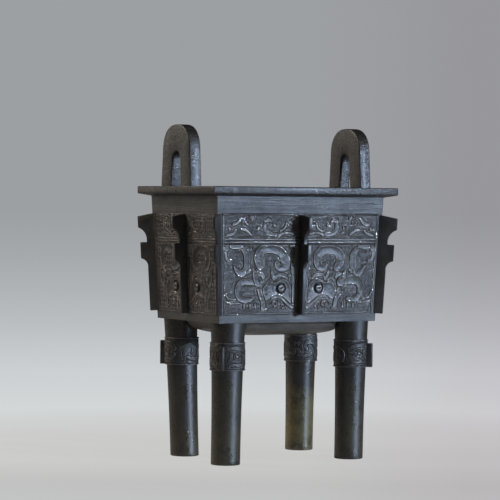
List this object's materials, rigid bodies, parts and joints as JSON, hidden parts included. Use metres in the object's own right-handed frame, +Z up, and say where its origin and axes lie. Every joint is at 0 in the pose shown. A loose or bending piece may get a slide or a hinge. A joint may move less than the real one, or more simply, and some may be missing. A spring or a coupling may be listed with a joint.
{
  "type": "rectangular bronze ritual vessel",
  "caption": "Rectangular cast bronze ritual vessel: open tapered box with mask and dragon relief and hooked flanges, on round legs, with upright slotted ears on the rim.",
  "frame": {"origin": "on the ground plane, under the middle of the vessel", "axes": "+Z up; +X to the right along the long sides; +Y to the back, along the short sides"},
  "size_m": [0.1632, 0.1292, 0.25],
  "materials": {
    "plain_bronze": "dark patinated bronze, satin, fine horizontal polishing streaks",
    "relief_bronze": "dark patinated bronze, crisp cast relief, worn highlights",
    "flange_bronze": "dark patinated bronze, plain",
    "leg_bronze": "dark patinated bronze, satin, olive patina low down",
    "clay_core": "fired casting clay, matt"
  },
  "bodies": {
    "root": {"leg_front_left": "leg_bronze", "leg_core_front_left": "clay_core", "leg_band_front_left": "relief_bronze", "leg_flange_front_left": "flange_bronze", "corner_flange_front_left": "flange_bronze", "leg_front_right": "leg_bronze", "leg_core_front_right": "clay_core", "leg_band_front_right": "relief_bronze", "leg_flange_front_right": "flange_bronze", "corner_flange_front_right": "flange_bronze", "leg_back_left": "leg_bronze", "leg_core_back_left": "clay_core", "leg_band_back_left": "relief_bronze", "leg_flange_back_left": "flange_bronze", "corner_flange_back_left": "flange_bronze", "leg_back_right": "leg_bronze", "leg_core_back_right": "clay_core", "leg_band_back_right": "relief_bronze", "leg_flange_back_right": "flange_bronze", "corner_flange_back_right": "flange_bronze", "side_flange_front": "flange_bronze", "mask_eye_front_left": "relief_bronze", "mask_panel_front_left": "relief_bronze", "frieze_panel_front_left": "relief_bronze", "mask_eye_front_right": "relief_bronze", "mask_panel_front_right": "relief_bronze", "frieze_panel_front_right": "relief_bronze", "side_flange_back": "flange_bronze", "mask_eye_back_left": "relief_bronze", "mask_panel_back_left": "relief_bronze", "frieze_panel_back_left": "relief_bronze", "mask_eye_back_right": "relief_bronze", "mask_panel_back_right": "relief_bronze", "frieze_panel_back_right": "relief_bronze", "side_flange_left": "flange_bronze", "mask_eye_left_left": "relief_bronze", "mask_panel_left_left": "relief_bronze", "frieze_panel_left_left": "relief_bronze", "mask_eye_left_right": "relief_bronze", "mask_panel_left_right": "relief_bronze", "frieze_panel_left_right": "relief_bronze", "side_flange_right": "flange_bronze", "mask_eye_right_left": "relief_bronze", "mask_panel_right_left": "relief_bronze", "frieze_panel_right_left": "relief_bronze", "mask_eye_right_right": "relief_bronze", "mask_panel_right_right": "relief_bronze", "frieze_panel_right_right": "relief_bronze", "vessel_body": "plain_bronze", "vessel_floor": "plain_bronze", "rim": "plain_bronze", "ear_left": "plain_bronze", "ear_right": "plain_bronze"}
  },
  "joints": []
}
